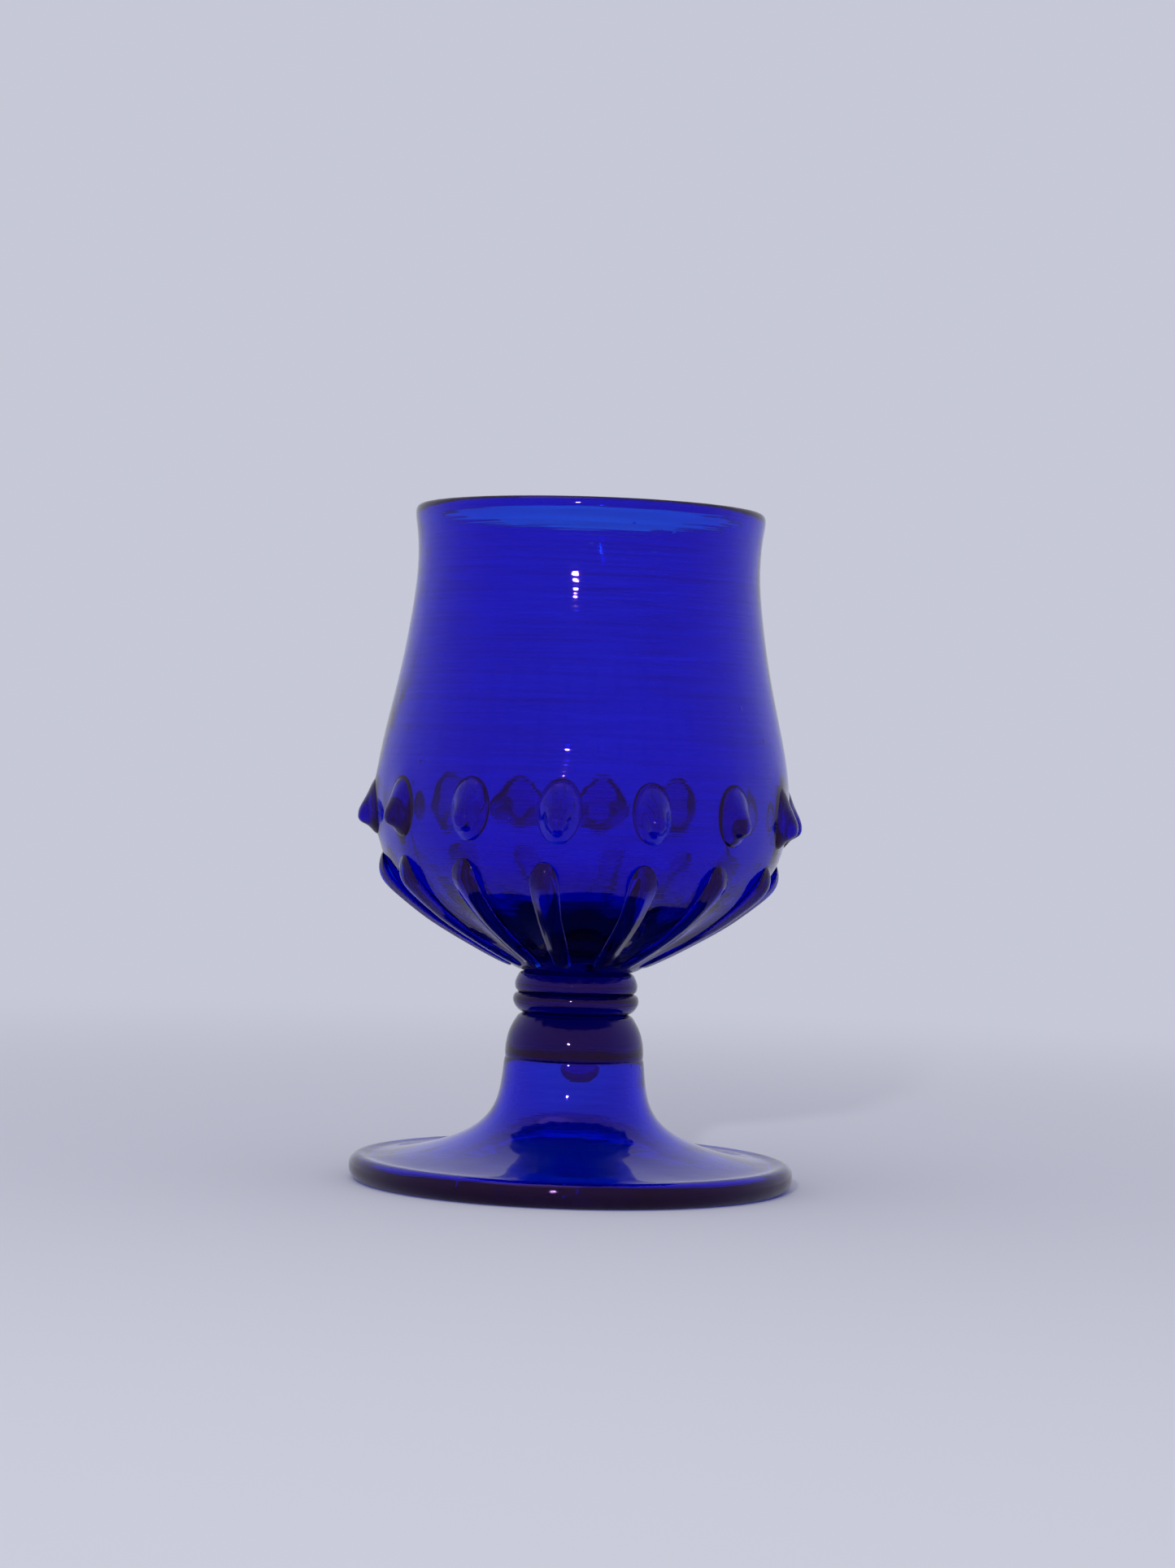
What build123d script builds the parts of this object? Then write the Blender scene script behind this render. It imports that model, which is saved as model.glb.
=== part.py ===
from build123d import *
import os

# A hand-blown glass goblet, standing on its foot. Millimetres, +Z up along the axis of the glass.
# The origin is the middle of the foot, on the surface that it stands on.
# Hot pieces of the same glass are stuck together, so every piece meets the next face to face.

# Driving dimensions
total_height = 130.0
lip_radius = 33.7  # outside of the lip
lip_thickness = 2.2
foot_radius = 43.0
nip_count = 14  # pincered points round the widest part of the bowl
rib_count = 14  # ribs round the bottom of the bowl

# Heights of the seams between the pieces, from the table up
knop_bottom = 24.0
collar_bottom = 33.0
collar_middle = 36.9
bowl_bottom = 41.0

# Radii of those seams
pedestal_top_radius = 13.55
pedestal_bore_radius = 11.2
knop_top_radius = 10.7
collar_middle_radius = 11.5
collar_top_radius = 10.9
bowl_bottom_radius = 11.2

# Directions that the nips and the ribs start from, in degrees round +Z
nip_start_angle = -96.0
rib_start_angle = -98.6

# A nip narrows outwards from the wall. Each row is its distance from the axis, the height of its
# middle, half its width and half its height there.
nip_sections = [
    (37.6, 71.9, 4.3, 5.4),
    (40.1, 71.8, 3.8, 4.8),
    (41.1, 71.2, 3.1, 3.8),
    (42.2, 70.5, 2.3, 2.6),
    (43.1, 70.0, 1.3, 1.4),
]
nip_tip_rounding = 0.9

# A rib is a round bar, thick at its upper end and thin at the neck, half sunk in the wall
rib_end_radius = 2.8
rib_neck_radius = 1.9
rib_line = [(35.7, 59.4), (27.6, 52.5), (20.8, 47.9), (14.9, 45.0), (10.3, 42.5)]

# The lump that the punty rod left under the knop
pontil_radius = 4.4
pontil_depth = 4.6
pontil_offset = 1.2


def turned(*edges):
    """A solid turned round the axis of the glass from an outline of (radius, height)."""
    return revolve(make_face(Plane.XZ * Curve(edges)), Axis.Z)


# The wall of the bowl, outside and inside, from the bottom to where the lip starts.
lip_start = total_height - lip_thickness / 2
lip_inner_radius = lip_radius - lip_thickness
wall_outside = [
    (bowl_bottom_radius, bowl_bottom),
    (21.0, 47.2),
    (30.3, 53.1),
    (36.9, 59.2),
    (39.5, 67.0),
    (39.9, 76.5),
    (37.3, 92.0),
    (34.2, 108.0),
    (33.0, 119.5),
    (lip_radius, lip_start),
]
wall_inside = [
    (lip_inner_radius, lip_start),
    (30.9, 119.5),
    (32.1, 108.0),
    (35.1, 92.0),
    (37.6, 76.5),
    (37.1, 67.5),
    (34.2, 61.0),
    (27.0, 55.0),
    (15.0, 50.2),
    (0.0, 48.4),
]


def outside_wall():
    return Spline(*wall_outside, tangents=[(1.0, 0.62), (0.15, 1.0)])


def bowl():
    """The blown bowl: a thin wall with a rounded lip, on a thick solid bottom."""
    lip = ThreePointArc(
        (lip_radius, lip_start),
        (lip_radius - lip_thickness / 2, total_height),
        (lip_inner_radius, lip_start),
    )
    inside = Spline(*wall_inside, tangents=[(-0.15, -1.0), (-1.0, 0.0)])
    under = Polyline((0, wall_inside[-1][1]), (0, bowl_bottom), wall_outside[0])
    return turned(outside_wall(), lip, inside, under)


def bowl_envelope():
    """The bowl with its hollow filled, which nips and ribs are cut back to."""
    over = Polyline(wall_outside[-1], (0, lip_start), (0, bowl_bottom), wall_outside[0])
    return turned(outside_wall(), over)


def nip(envelope):
    """One pincered point of the upper row, in the +X direction."""
    sections = []
    for radius, height, half_width, half_height in nip_sections:
        across = Plane(origin=(radius, 0, height), x_dir=(0, 1, 0), z_dir=(1, 0, 0))
        sections.append(across * Ellipse(half_width, half_height))
    body = loft(sections)
    tip = body.faces().sort_by(Axis.X)[-1]
    return fillet(tip.edges(), nip_tip_rounding) - envelope


def rib(envelope):
    """One rib of the lower row, in the +X direction, from its round end down to the neck."""
    line = Spline(*[(r, 0, z) for r, z in rib_line])
    stations = 6
    sections = []
    for i in range(stations):
        share = i / (stations - 1)
        radius = rib_end_radius + share * (rib_neck_radius - rib_end_radius)
        across = Plane(origin=line @ share, x_dir=(0, 1, 0), z_dir=line % share)
        sections.append(across * Circle(radius))
    end = Pos(rib_line[0][0], 0, rib_line[0][1]) * Sphere(rib_end_radius)
    below = Pos(0, 0, bowl_bottom / 2) * Cylinder(foot_radius, bowl_bottom)
    return loft(sections) + end - envelope - below


def upper_collar():
    """The upper ring of the collar, stuck under the bowl."""
    side = Spline(
        (collar_middle_radius, collar_middle),
        (11.95, 38.1),
        (11.6, 39.5),
        (collar_top_radius, bowl_bottom),
        tangents=[(0.5, 0.6), (-0.1, 1.0)],
    )
    return turned(
        side,
        Polyline(
            (collar_top_radius, bowl_bottom),
            (0, bowl_bottom),
            (0, collar_middle),
            (collar_middle_radius, collar_middle),
        ),
    )


def lower_collar():
    """The lower and wider ring of the collar."""
    side = Spline(
        (knop_top_radius, collar_bottom),
        (11.75, 34.1),
        (12.25, 35.5),
        (collar_middle_radius, collar_middle),
        tangents=[(0.6, 1.0), (-0.6, 0.5)],
    )
    return turned(
        side,
        Polyline(
            (collar_middle_radius, collar_middle),
            (0, collar_middle),
            (0, collar_bottom),
            (knop_top_radius, collar_bottom),
        ),
    )


def knop():
    """The solid shoulder of the stem, which closes the top of the hollow pedestal."""
    side = Spline(
        (pedestal_top_radius, knop_bottom),
        (13.3, 27.0),
        (12.5, 29.8),
        (11.1, 32.0),
        (knop_top_radius, collar_bottom),
        tangents=[(0.0, 1.0), (0.1, 1.0)],
    )
    return turned(
        side,
        Polyline(
            (knop_top_radius, collar_bottom),
            (0, collar_bottom),
            (0, knop_bottom),
            (pedestal_top_radius, knop_bottom),
        ),
    )


def pedestal_foot():
    """The hollow blown pedestal, flared out to a foot with a thick rounded rim and a flat ring under it."""
    ring_inner = (39.9, 0.0)
    ring_outer = (41.5, 0.0)
    bead_top = (40.9, 5.0)
    groove = (38.8, 4.6)
    outside = Spline(
        groove,
        (36.0, 4.85),
        (29.5, 6.2),
        (22.8, 8.3),
        (17.6, 11.4),
        (15.0, 14.6),
        (13.95, 18.5),
        (pedestal_top_radius, knop_bottom),
        tangents=[(-1.0, 0.05), (0.0, 1.0)],
    )
    inside = Spline(
        (pedestal_bore_radius, knop_bottom),
        (11.6, 18.0),
        (12.6, 13.8),
        (15.4, 9.8),
        (21.5, 6.1),
        (29.0, 3.9),
        (36.2, 2.3),
        ring_inner,
        tangents=[(0.0, -1.0), (1.0, -0.9)],
    )
    rim = [
        Line(ring_inner, ring_outer),
        ThreePointArc(ring_outer, (foot_radius, 2.4), bead_top),
        Line(bead_top, groove),
    ]
    top = Line((pedestal_top_radius, knop_bottom), (pedestal_bore_radius, knop_bottom))
    return turned(*rim, outside, top, inside)


def pontil_scar():
    """The rounded lump of glass under the knop, a little off the axis."""
    side = Spline(
        (0, -pontil_depth),
        (0.75 * pontil_radius, -0.66 * pontil_depth),
        (pontil_radius, 0),
        tangents=[(1.0, 0.0), (0.0, 1.0)],
    )
    top = Polyline((pontil_radius, 0), (0, 0), (0, -pontil_depth))
    return Pos(pontil_offset, 0, knop_bottom) * turned(side, top)


os.makedirs("parts", exist_ok=True)


def write(shape, node):
    shape.label = node
    export_step(shape, f"parts/{node}.step")


write(bowl(), "bowl")
write(upper_collar(), "upper_collar")
write(lower_collar(), "lower_collar")
write(knop(), "knop")
write(pedestal_foot(), "pedestal_foot")
write(pontil_scar(), "pontil_scar")

full_bowl = bowl_envelope()
one_nip = nip(full_bowl)
for i in range(nip_count):
    write(Rot(0, 0, nip_start_angle + i * 360 / nip_count) * one_nip, f"nip_{i + 1:02d}")
one_rib = rib(full_bowl)
for i in range(rib_count):
    write(Rot(0, 0, rib_start_angle + i * 360 / rib_count) * one_rib, f"rib_{i + 1:02d}")
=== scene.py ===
import math
import random

import bpy
from mathutils import Matrix, Vector


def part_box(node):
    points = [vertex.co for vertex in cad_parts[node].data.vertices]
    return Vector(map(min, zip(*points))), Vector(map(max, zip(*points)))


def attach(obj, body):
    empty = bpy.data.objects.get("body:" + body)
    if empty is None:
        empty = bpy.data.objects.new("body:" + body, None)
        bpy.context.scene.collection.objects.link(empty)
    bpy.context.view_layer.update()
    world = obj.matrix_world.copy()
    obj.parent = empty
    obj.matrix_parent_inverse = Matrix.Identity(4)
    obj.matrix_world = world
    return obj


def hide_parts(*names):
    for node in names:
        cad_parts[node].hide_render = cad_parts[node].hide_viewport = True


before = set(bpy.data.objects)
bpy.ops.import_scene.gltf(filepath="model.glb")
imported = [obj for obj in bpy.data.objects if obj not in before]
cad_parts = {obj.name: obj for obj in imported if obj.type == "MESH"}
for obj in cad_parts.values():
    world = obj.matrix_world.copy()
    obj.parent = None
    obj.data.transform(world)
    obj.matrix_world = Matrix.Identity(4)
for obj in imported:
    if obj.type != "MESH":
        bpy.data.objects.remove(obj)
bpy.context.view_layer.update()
mm = 0.001
weldDistance = 0.01 * mm  # points nearer than this are one point

hand = random.Random(14)  # the unevenness of hand work, the same each time
ringNumbers = range(1, 15)  # nips and ribs come in rings of fourteen


def nodeBottom(node):
    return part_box(node)[0].z


def nodeMiddle(node):
    low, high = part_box(node)
    return (low + high) / 2


def nodeAngles(kind):
    # the way that each CAD nip or rib faces, round the axis of the glass
    middles = [nodeMiddle(f"{kind}_{number:02d}") for number in ringNumbers]
    return [math.atan2(middle.y, middle.x) for middle in middles]


def deselectAll():
    if bpy.context.object and bpy.context.object.mode != "OBJECT":
        bpy.ops.object.mode_set(mode="OBJECT")
    bpy.ops.object.select_all(action="DESELECT")


def applyModifiers(piece):
    bpy.context.view_layer.objects.active = piece
    for name in [m.name for m in piece.modifiers]:
        bpy.ops.object.modifier_apply(modifier=name)


def finishMesh(piece, levels):
    # round the cage off, and put the piece's place in its mesh
    bpy.ops.mesh.select_all(action="SELECT")
    bpy.ops.mesh.normals_make_consistent(inside=False)
    bpy.ops.object.mode_set(mode="OBJECT")
    smooth = piece.modifiers.new("smooth", "SUBSURF")
    smooth.levels = levels
    smooth.render_levels = levels
    applyModifiers(piece)
    bpy.ops.object.transform_apply(location=True, rotation=True, scale=True)
    bpy.ops.object.shade_smooth()


def turnPiece(name, node, outline, sides=56, levels=2, bored=False):
    # a disc drawn out and scaled ring by ring, as on a lathe, or a loop if a hole goes through
    # the outline is radius and height in mm, up from the bottom of the CAD node
    deselectAll()
    bottom = nodeBottom(node)
    rings = [(radius * mm, bottom + height * mm) for radius, height in outline]
    if bored:
        rings.append(rings[0])
    radius, height = rings[0]
    fill = "NOTHING" if bored else "NGON"
    bpy.ops.mesh.primitive_circle_add(
        vertices=sides, radius=radius, fill_type=fill, location=(0, 0, height)
    )
    piece = bpy.context.object
    piece.name = name
    piece.data.name = name
    bpy.ops.object.mode_set(mode="EDIT")
    bpy.ops.mesh.select_mode(type="VERT")
    bpy.ops.mesh.select_all(action="SELECT")
    for nextRadius, nextHeight in rings[1:]:
        bpy.ops.mesh.extrude_region_move(
            TRANSFORM_OT_translate={"value": (0, 0, nextHeight - height)}
        )
        scale = nextRadius / radius
        bpy.ops.transform.resize(value=(scale, scale, 1), center_override=(0, 0, nextHeight))
        radius, height = nextRadius, nextHeight
    bpy.ops.mesh.select_all(action="SELECT")
    bpy.ops.mesh.remove_doubles(threshold=weldDistance)
    finishMesh(piece, levels)
    return piece


def copyRound(piece, kind, height, lean, stretch):
    # one copy for each CAD node of the kind, turned to face as it does, no two quite alike
    copies = []
    there = Matrix.Translation((0, 0, height))
    for number, angle in zip(ringNumbers, nodeAngles(kind)):
        copy = piece.copy()
        copy.data = piece.data.copy()
        copy.name = f"{kind}_glass_{number:02d}"
        copy.data.name = copy.name
        turn = Matrix.Rotation(math.radians(hand.uniform(-lean, lean)), 4, "X")
        wider = 1 + hand.uniform(-stretch, stretch)
        taller = 1 + hand.uniform(-stretch, stretch)
        size = Matrix.Diagonal((1, wider, taller, 1))
        copy.data.transform(there @ turn @ size @ there.inverted())
        copy.data.transform(Matrix.Rotation(angle, 4, "Z"))
        bpy.context.collection.objects.link(copy)
        copies.append(copy)
    bpy.data.objects.remove(piece)
    return copies


glass = {
    "tint": (0.0, 0.55, 0.968, 1),  # share of red, green and blue that the cobalt lets by
    "density": 2400,
    "ior": 1.5,
    "paintedReflectionTint": (0.65, 0.3, 0.9, 1),  # violet tint on what it mirrors face on, standing in for a blue sky mirrored in it: painted reflection colour
    "haze": (0.02, 0.055),  # least and most roughness, from wear where the glass is handled
    "waveScale": 60,  # slow waves left by the blowing
    "waveHeight": 1.2 * mm,
    "ringStretch": (14, 14, 420),  # fine rings drawn round the wall as the glass was turned
    "ringHeight": 0.3 * mm,
    "seedScale": 230,  # seeds are the tiny bubbles in the metal
    "seedSize": (0.02, 0.09),
    "seedHeight": 0.2 * mm,
    "seedLimit": 0.6,  # a place has a seed only where its random shade is over this
    "streakStretch": (26, 26, 1500),  # faint darker streaks, where the cobalt was poorly stirred in
    "streakDye": (0.35, 0.25, 0.55, 1),
    "streakRange": (0.4, 0.7),
    "patchRange": (0.35, 0.65),  # where the waves take the streaks from faint to full strength
    "patchLeast": 0.45,
}


def addNode(tree, kind, values, operation=None):
    # a shader node with these values on its sockets
    node = tree.nodes.new("ShaderNode" + kind)
    if operation:
        node.operation = operation
    for socket, value in values.items():
        node.inputs[socket].default_value = value
    return node


def addBump(tree, height, distance, strength, before=None):
    # a bump laid over the one before it
    bump = addNode(tree, "Bump", {"Strength": strength, "Distance": distance})
    tree.links.new(height, bump.inputs["Height"])
    if before:
        tree.links.new(before.outputs["Normal"], bump.inputs["Normal"])
    return bump


def mapRange(tree, source, fromRange, toRange):
    ends = zip(("From Min", "From Max", "To Min", "To Max"), (*fromRange, *toRange))
    node = addNode(tree, "MapRange", dict(ends))
    tree.links.new(source, node.inputs["Value"])
    return node.outputs["Result"]


def stretchedNoise(tree, place, stretch, values):
    mapping = addNode(tree, "Mapping", {"Scale": stretch})
    tree.links.new(place, mapping.inputs["Vector"])
    noise = addNode(tree, "TexNoise", {"Scale": 1, **values})
    tree.links.new(mapping.outputs["Vector"], noise.inputs["Vector"])
    return noise.outputs["Fac"]


def makeGlass(name, streaks=0.0, striae=0.0, seeds=0.0, wobble=0.2, density=1.0):
    material = bpy.data.materials.new(name)
    material.use_nodes = True
    tree = material.node_tree
    links = tree.links
    shader = tree.nodes["Principled BSDF"]
    shader.inputs["Transmission Weight"].default_value = 1
    shader.inputs["IOR"].default_value = glass["ior"]
    # everything the glass mirrors is tinted violet: painted reflection colour
    shader.inputs["Specular Tint"].default_value = glass["paintedReflectionTint"]
    volume = addNode(
        tree, "VolumeAbsorption", {"Color": glass["tint"], "Density": glass["density"] * density}
    )
    links.new(volume.outputs["Volume"], tree.nodes["Material Output"].inputs["Volume"])
    place = tree.nodes.new("ShaderNodeTexCoord").outputs["Object"]

    # waves, then rings over them, then seeds
    waves = addNode(tree, "TexNoise", {"Scale": glass["waveScale"], "Detail": 2})
    links.new(place, waves.inputs["Vector"])
    waves = waves.outputs["Fac"]
    rings = stretchedNoise(tree, place, glass["ringStretch"], {"Detail": 3})
    cells = addNode(tree, "TexVoronoi", {"Scale": glass["seedScale"]})
    links.new(place, cells.inputs["Vector"])
    few = addNode(tree, "Math", {1: glass["seedLimit"]}, operation="GREATER_THAN")
    links.new(cells.outputs["Color"], few.inputs[0])
    specks = addNode(tree, "Math", {}, operation="MULTIPLY")
    dots = mapRange(tree, cells.outputs["Distance"], glass["seedSize"], (1, 0))
    links.new(dots, specks.inputs[0])
    links.new(few.outputs["Value"], specks.inputs[1])
    bump = addBump(tree, waves, glass["waveHeight"], wobble)
    bump = addBump(tree, rings, glass["ringHeight"], striae, bump)
    bump = addBump(tree, specks.outputs["Value"], glass["seedHeight"], seeds, bump)
    links.new(bump.outputs["Normal"], shader.inputs["Normal"])

    # streaks, stronger in some places, and a dark speck at each seed
    swirl = stretchedNoise(
        tree, place, glass["streakStretch"], {"Detail": 5, "Roughness": 0.6, "Distortion": 0.8}
    )
    uneven = addNode(tree, "Math", {}, operation="MULTIPLY")
    depth = mapRange(tree, swirl, glass["streakRange"], (0, streaks))
    patches = mapRange(tree, waves, glass["patchRange"], (glass["patchLeast"], 1))
    links.new(depth, uneven.inputs[0])
    links.new(patches, uneven.inputs[1])
    shade = addNode(tree, "Math", {1: seeds}, operation="MULTIPLY_ADD")
    shade.use_clamp = True
    links.new(specks.outputs["Value"], shade.inputs[0])
    links.new(uneven.outputs["Value"], shade.inputs[2])
    dye = tree.nodes.new("ShaderNodeMix")
    dye.data_type = "RGBA"
    dye.inputs["A"].default_value = (1, 1, 1, 1)
    dye.inputs["B"].default_value = glass["streakDye"]
    links.new(shade.outputs["Value"], dye.inputs["Factor"])
    links.new(dye.outputs["Result"], shader.inputs["Base Color"])
    links.new(mapRange(tree, waves, (0, 1), glass["haze"]), shader.inputs["Roughness"])
    return material


def placePiece(piece, material, slotName, *nodeNames):
    piece.data.materials.clear()
    piece.data.materials.append(material)
    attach(piece, "root")
    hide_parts(*nodeNames)


# The blown bowl: up the outside, over the lip and down the inside, in mm over its bottom
bowlDims = {
    "outside": [
        (5.0, 0.0), (10.6, 0.0), (11.8, 0.4), (16.0, 3.1), (21.6, 6.4), (27.6, 10.0), (32.8, 14.0),
        (36.7, 18.6), (38.9, 23.6), (40.0, 29.5), (40.1, 35.0), (39.3, 41.5), (37.9, 48.0),
        (36.4, 54.5), (35.1, 61.0), (34.0, 68.0), (33.2, 74.5), (33.0, 79.5), (33.3, 84.0),
        (33.9, 87.2),
    ],
    "lip": [(33.7, 88.5), (32.9, 89.05), (31.9, 88.6), (31.5, 87.4)],
    "inside": [
        (31.1, 84.0), (30.9, 79.5), (31.1, 74.5), (31.9, 68.0), (33.0, 61.0), (34.3, 54.5),
        (35.7, 48.0), (37.1, 41.5), (37.8, 35.0), (37.6, 29.5), (36.3, 23.6), (33.9, 19.2),
        (29.8, 15.4), (24.0, 12.2), (17.0, 9.8), (9.0, 7.9), (3.0, 7.4),
    ],
}
bowlOutline = bowlDims["outside"] + bowlDims["lip"] + bowlDims["inside"]
bowl = turnPiece("bowl_glass", "bowl", bowlOutline, sides=84)

# the wall gives a little where each nip was pinched out and each rib was pressed, all in mm
pressDims = {
    "nip": {"tall": 5.2, "wide": 3.7, "outer": 0.8, "inner": 1.0},
    "rib": {"low": 2.0, "high": 23.0, "lowFade": 5.0, "wide": 3.2, "outer": 0.8, "inner": 0.7},
    "ribFade": 6.0,  # how gently the press of a rib ends at its top
    "middle": 6.0,  # nothing nearer the axis than this moves
    "sway": 0.1,  # the wall wanders from a true circle in two waves, and this is the first
    "swaySecond": 0.6,  # the second wave, as a share of the first
    "swayHeights": (21.0, 13.0),  # how slowly the two waves turn with height
    "lipClear": 2.0,  # no sway in the lip and this far under it
    "lipFade": 12.0,  # the sway comes up to its full depth over this height below that
}


def roundPlace(angle, angles):
    # how far an angle is from the nearest one of a ring, in radians
    return min(((angle - other + math.pi) % (2 * math.pi) - math.pi for other in angles), key=abs)


def ramp(value):
    return max(0.0, min(1.0, value))


def pressWall(piece):
    nipPress, ribPress = pressDims["nip"], pressDims["rib"]
    nipAngles, ribAngles = nodeAngles("nip"), nodeAngles("rib")
    nipHeight = nodeMiddle("nip_01").z / mm
    bottom, top = (corner.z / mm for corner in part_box("bowl"))
    ribLow, ribHigh = bottom + ribPress["low"], bottom + ribPress["high"]
    firstTurn, secondTurn = pressDims["swayHeights"]
    normals = [vertex.normal.copy() for vertex in piece.data.vertices]
    for vertex, normal in zip(piece.data.vertices, normals):
        x, y, z = vertex.co / mm
        radius = math.hypot(x, y)
        if radius < pressDims["middle"]:
            continue
        angle = math.atan2(y, x)
        inside = normal.x * x + normal.y * y < 0
        side = "inner" if inside else "outer"
        outwards = -normal if inside else normal
        across = roundPlace(angle, nipAngles) * radius / nipPress["wide"]
        up = (z - nipHeight) / nipPress["tall"]
        push = nipPress[side] * math.exp(-across * across - up * up)
        across = roundPlace(angle, ribAngles) * radius / ribPress["wide"]
        ends = ramp((z - ribLow) / ribPress["lowFade"]) * ramp((ribHigh - z) / pressDims["ribFade"])
        push += ribPress[side] * math.exp(-across * across) * ends
        wander = math.sin(2 * angle + z / firstTurn)
        wander += pressDims["swaySecond"] * math.sin(3 * angle - z / secondTurn)
        free = ramp((top - pressDims["lipClear"] - z) / pressDims["lipFade"])
        push += pressDims["sway"] * wander * free
        vertex.co += outwards * push * mm


pressWall(bowl)
print("bowl blown")

# A nip: drawn out from the wall and pulled down to a blunt point, modelled facing +X
nipDims = {
    # mm out from the axis, mm over the middle of the CAD nip, half width and half height
    "rings": [
        (39.0, 0.1, 3.8, 5.8), (39.0, 0.1, 4.1, 6.2), (39.7, 0.1, 3.95, 6.0), (40.4, 0.0, 3.4, 5.1),
        (41.0, -0.4, 2.7, 4.0), (41.5, -0.9, 2.3, 3.2), (42.3, -1.5, 1.8, 2.2),
        (42.8, -1.8, 1.4, 1.5), (43.1, -2.0, 0.7, 0.8), (43.15, -2.05, 0.25, 0.3),
    ],
    "lean": 7.0,  # degrees that a nip may lean to one side
    "stretch": 0.07,
}


def drawOut(name, rings, middle, sides=16, levels=3):
    deselectAll()
    rings = [(out * mm, middle + up * mm, wide * mm, tall * mm) for out, up, wide, tall in rings]
    out, height, halfWidth, halfHeight = rings[0]
    bpy.ops.mesh.primitive_circle_add(
        vertices=sides, radius=1, fill_type="NGON", location=(out, 0, height),
        rotation=(0, math.pi / 2, 0),
    )
    piece = bpy.context.object
    piece.name = name
    bpy.ops.object.mode_set(mode="EDIT")
    bpy.ops.mesh.select_mode(type="FACE")
    bpy.ops.mesh.select_all(action="SELECT")
    bpy.ops.transform.resize(value=(1, halfWidth, halfHeight), center_override=(out, 0, height))
    for nextOut, nextHeight, nextWidth, nextTall in rings[1:]:
        bpy.ops.mesh.extrude_region_move(
            TRANSFORM_OT_translate={"value": (nextOut - out, 0, nextHeight - height)}
        )
        bpy.ops.transform.resize(
            value=(1, nextWidth / halfWidth, nextTall / halfHeight),
            center_override=(nextOut, 0, nextHeight),
        )
        out, height, halfWidth, halfHeight = nextOut, nextHeight, nextWidth, nextTall
    finishMesh(piece, levels)
    return piece


nipHeight = nodeMiddle("nip_01").z
nips = copyRound(
    drawOut("nip", nipDims["rings"], nipHeight),
    "nip",
    nipHeight,
    nipDims["lean"],
    nipDims["stretch"],
)
print("nips drawn out")

# A rib: a bar laid down the underside of the bowl from a round knob, modelled facing +X
ribDims = {
    # mm out, mm over the bottom of the CAD rib, slope of the wall, half width, rise off the wall
    "stations": [
        (38.1, 21.9, 66, 1.0, 0.1), (37.7, 20.8, 61, 2.2, 1.3), (37.0, 19.3, 54, 3.0, 2.3),
        (35.9, 17.7, 48, 3.2, 2.6), (34.0, 15.4, 43, 2.9, 2.1), (31.0, 12.6, 39, 2.6, 1.7),
        (27.6, 10.0, 34, 2.5, 1.6), (21.6, 6.4, 32, 2.3, 1.4), (16.0, 3.1, 31, 2.0, 1.1),
        (12.4, 1.0, 30, 1.7, 0.6),
    ],
    "ridge": 0.62,  # width of the bar towards its crest, as a share of its full width
    "ridgeFrom": 0.3,  # where that starts, from 0 at the middle to 1 at the crest
    "lean": 2.0,
    "stretch": 0.03,
}


def layBar(name, dims, bottom, sides=12, levels=2):
    deselectAll()
    piece = None
    before = None
    for out, up, slope, halfWidth, rise in dims["stations"]:
        tilt = math.radians(slope)
        normal = Vector((math.sin(tilt), 0, -math.cos(tilt)))
        halfTall = rise / 2 * mm
        middle = Vector((out * mm, 0, bottom + up * mm)) + normal * halfTall
        along = Vector((-math.cos(tilt), 0, -math.sin(tilt)))
        # ring axes: Y across, the wall's normal outwards, and along down the wall
        turn = Matrix((Vector((0, 1, 0)), normal, along)).transposed().to_4x4()
        size = Matrix.Diagonal((halfWidth * mm, halfTall, 1, 1))
        place = Matrix.Translation(middle) @ turn @ size
        if piece is None:
            bpy.ops.mesh.primitive_circle_add(vertices=sides, radius=1, fill_type="NGON")
            piece = bpy.context.object
            piece.name = name
            for vertex in piece.data.vertices:
                if vertex.co.y > dims["ridgeFrom"]:
                    vertex.co.x *= dims["ridge"]
            piece.data.transform(place)
            bpy.ops.object.mode_set(mode="EDIT")
            bpy.ops.mesh.select_mode(type="FACE")
            bpy.ops.mesh.select_all(action="SELECT")
        else:
            bpy.ops.mesh.extrude_region_move()
            bpy.ops.object.mode_set(mode="OBJECT")
            step = place @ before.inverted()
            for vertex in piece.data.vertices:
                if vertex.select:
                    vertex.co = step @ vertex.co
            bpy.ops.object.mode_set(mode="EDIT")
        before = place
    finishMesh(piece, levels)
    return piece


ribs = copyRound(
    layBar("rib", ribDims, nodeBottom("rib_01")),
    "rib",
    nodeMiddle("rib_01").z,
    ribDims["lean"],
    ribDims["stretch"],
)
print("ribs laid")

# The two rings of the collar
collarDims = {
    "upper": [
        (9.0, -0.5), (11.3, -0.3), (11.9, 0.7), (11.9, 1.9), (11.3, 3.1), (10.9, 4.0), (8.0, 4.5),
    ],
    "lower": [
        (8.0, -0.4), (10.7, -0.2), (11.6, 0.8), (12.3, 2.0), (12.1, 3.2), (11.4, 3.9), (8.0, 4.1),
    ],
}
upperCollar = turnPiece("upper_collar_glass", "upper_collar", collarDims["upper"])
lowerCollar = turnPiece("lower_collar_glass", "lower_collar", collarDims["lower"])

knopDims = {
    "outline": [
        (9.0, -0.2), (12.9, -0.2), (13.45, 0.1), (13.4, 2.5), (13.0, 4.6), (12.3, 6.4), (11.4, 7.8),
        (10.8, 8.8), (8.0, 9.3),
    ],
}
knop = turnPiece("knop_glass", "knop", knopDims["outline"])

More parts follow.
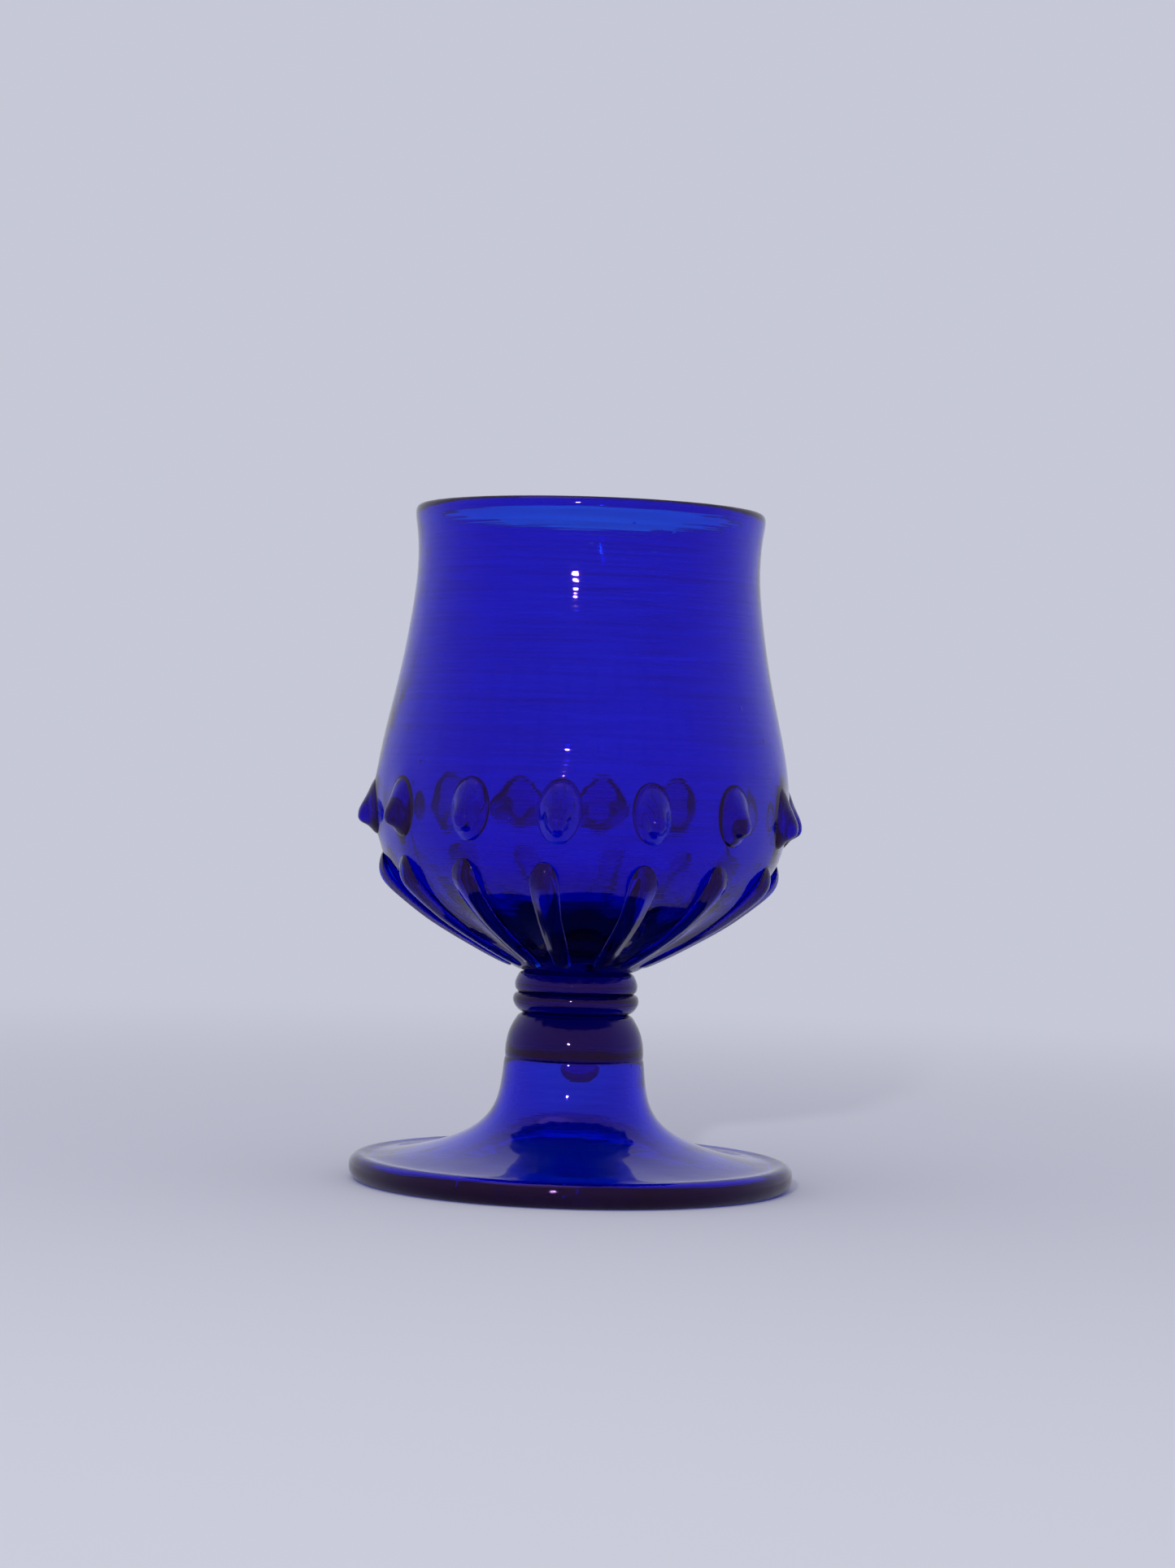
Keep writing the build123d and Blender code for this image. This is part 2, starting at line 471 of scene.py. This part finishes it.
# The hollow pedestal and foot, up the outside and back down inside
footDims = {
    "outline": [
        (40.3, 0.0), (41.4, 0.0), (42.6, 0.9), (43.05, 2.5), (42.7, 4.1), (41.5, 5.0), (40.2, 4.9),
        (39.0, 4.6), (36.5, 4.8), (32.5, 5.5), (27.8, 6.6), (22.8, 8.3), (18.6, 10.6), (16.0, 13.2),
        (14.6, 16.0), (13.9, 19.5), (13.6, 23.0), (13.5, 24.1), (13.1, 24.4), (11.8, 24.4),
        (11.2, 24.0), (11.2, 23.0), (11.4, 19.0), (12.2, 15.2), (14.0, 11.6), (17.4, 8.4),
        (22.5, 5.8), (28.5, 4.1), (33.5, 3.0), (37.6, 1.9), (39.6, 0.6),
    ],
}
foot = turnPiece("pedestal_foot_glass", "pedestal_foot", footDims["outline"], bored=True)

scarDims = {"outline": [(1.4, -0.1), (3.0, 0.5), (4.0, 1.9), (4.3, 3.6), (4.3, 4.9)]}
scar = turnPiece("pontil_scar_glass", "pontil_scar", scarDims["outline"], sides=16)
scar.data.transform(Matrix.Translation((nodeMiddle("pontil_scar").x, 0, 0)))
print("stem and foot made")

bowlGlass = makeGlass(
    "blown cobalt glass of the bowl", streaks=0.7, striae=0.3, seeds=0.6, wobble=0.2
)
nipGlass = makeGlass("pincered cobalt glass of the nips", wobble=0.1)
ribGlass = makeGlass("drawn cobalt glass of the ribs", wobble=0.1)
# the collar and stem glass absorbs a quarter more than the bowl's, though all is one cobalt glass:
# painted shade on the collar and stem
collarGlass = makeGlass("tooled cobalt glass of the collar", wobble=0.2, density=1.25)
stemGlass = makeGlass("solid cobalt glass of the stem", wobble=0.2, density=1.25)
# the foot glass absorbs about a third less than the bowl's, though all is one cobalt glass: painted
# light on the foot
footGlass = makeGlass(
    "spun cobalt glass of the foot", streaks=0.3, striae=0.2, seeds=0.3, wobble=0.2, density=0.65
)

placePiece(bowl, bowlGlass, "bowl_glass", "bowl")
placePiece(upperCollar, collarGlass, "collar_glass", "upper_collar")
placePiece(lowerCollar, collarGlass, "collar_glass", "lower_collar")
placePiece(knop, stemGlass, "stem_glass", "knop")
placePiece(foot, footGlass, "foot_glass", "pedestal_foot")
placePiece(scar, stemGlass, "stem_glass", "pontil_scar")
for number, nip in enumerate(nips, 1):
    placePiece(nip, nipGlass, "nip_glass", f"nip_{number:02d}")
for number, rib in enumerate(ribs, 1):
    placePiece(rib, ribGlass, "rib_glass", f"rib_{number:02d}")
print("glass placed")

# A pale floor that melts into the pale surround
stageLook = {
    "pale": (0.565, 0.578, 0.68, 1),
    "floor": (0.713, 0.709, 0.745, 1),
    "floorSize": 12.0,
    "floorRoughness": 0.9,
    "fadeFrom": 0.1,
    "fadeTo": 0.55,
}
deselectAll()
bpy.ops.mesh.primitive_plane_add(size=stageLook["floorSize"], location=(0, 0, 0))
floor = bpy.context.object
floor.name = "floor"
floorPaint = bpy.data.materials.new("pale floor")
floorPaint.use_nodes = True
floorTree = floorPaint.node_tree
matte = floorTree.nodes["Principled BSDF"]
matte.inputs["Base Color"].default_value = stageLook["floor"]
matte.inputs["Roughness"].default_value = stageLook["floorRoughness"]
matte.inputs["Specular IOR Level"].default_value = 0
glow = addNode(floorTree, "Emission", {"Color": stageLook["pale"]})
floorPlace = floorTree.nodes.new("ShaderNodeTexCoord")
distance = addNode(floorTree, "VectorMath", {}, operation="LENGTH")
floorTree.links.new(floorPlace.outputs["Object"], distance.inputs[0])
fade = addNode(
    floorTree, "MapRange", {"From Min": stageLook["fadeFrom"], "From Max": stageLook["fadeTo"]}
)
fade.interpolation_type = "SMOOTHSTEP"
floorTree.links.new(distance.outputs["Value"], fade.inputs["Value"])
mix = floorTree.nodes.new("ShaderNodeMixShader")
floorTree.links.new(fade.outputs["Result"], mix.inputs["Fac"])
floorTree.links.new(matte.outputs["BSDF"], mix.inputs[1])
floorTree.links.new(glow.outputs["Emission"], mix.inputs[2])
floorTree.links.new(mix.outputs["Shader"], floorTree.nodes["Material Output"].inputs["Surface"])
floor.data.materials.append(floorPaint)

world = bpy.data.worlds.new("pale surround")
world.use_nodes = True
world.node_tree.nodes["Background"].inputs["Color"].default_value = stageLook["pale"]
bpy.context.scene.world = world


# A lamp's size and its distance from the bowl in metres, watts, and degrees round and up
lampLook = {
    "aimHeight": 70 * mm,
    # makes the highlights
    "small lamp": {"size": 0.06, "power": 4, "azimuth": -9, "elevation": 16, "distance": 1.1},
    # a large soft light
    "key lamp": {"size": 0.9, "power": 1.2, "azimuth": -38, "elevation": 68, "distance": 1.4},
}


def addLamp(name):
    look = lampLook[name]
    azimuth, elevation = math.radians(look["azimuth"]), math.radians(look["elevation"])
    way = Vector((
        math.sin(azimuth) * math.cos(elevation),
        -math.cos(azimuth) * math.cos(elevation),
        math.sin(elevation),
    ))
    data = bpy.data.lights.new(name, "AREA")
    data.shape = "DISK"
    data.size = look["size"]
    data.energy = look["power"]
    lamp = bpy.data.objects.new(name, data)
    lamp.location = Vector((0, 0, lampLook["aimHeight"])) + way * look["distance"]
    lamp.rotation_euler = way.to_track_quat("Z", "Y").to_euler()
    bpy.context.collection.objects.link(lamp)


addLamp("small lamp")
addLamp("key lamp")
print("lights set")

cameraLook = {
    "lens": 77.5,
    "sensor": 36,
    "place": (0.95 * mm, -652 * mm, 77.1 * mm),
    "roll": 1.8,
    "nearest": 0.01,
    "bounces": 32,  # light crosses many walls of glass
}
cameraData = bpy.data.cameras.new("camera")
cameraData.lens = cameraLook["lens"]
cameraData.sensor_width = cameraLook["sensor"]
cameraData.clip_start = cameraLook["nearest"]
camera = bpy.data.objects.new("camera", cameraData)
camera.location = cameraLook["place"]
camera.rotation_euler = (math.pi / 2, -math.radians(cameraLook["roll"]), 0)
bpy.context.collection.objects.link(camera)
bpy.context.scene.camera = camera

scene = bpy.context.scene
scene.view_settings.view_transform = "Standard"
scene.cycles.max_bounces = cameraLook["bounces"]
scene.cycles.glossy_bounces = cameraLook["bounces"]
scene.cycles.transmission_bounces = cameraLook["bounces"]
scene.cycles.transparent_max_bounces = cameraLook["bounces"]
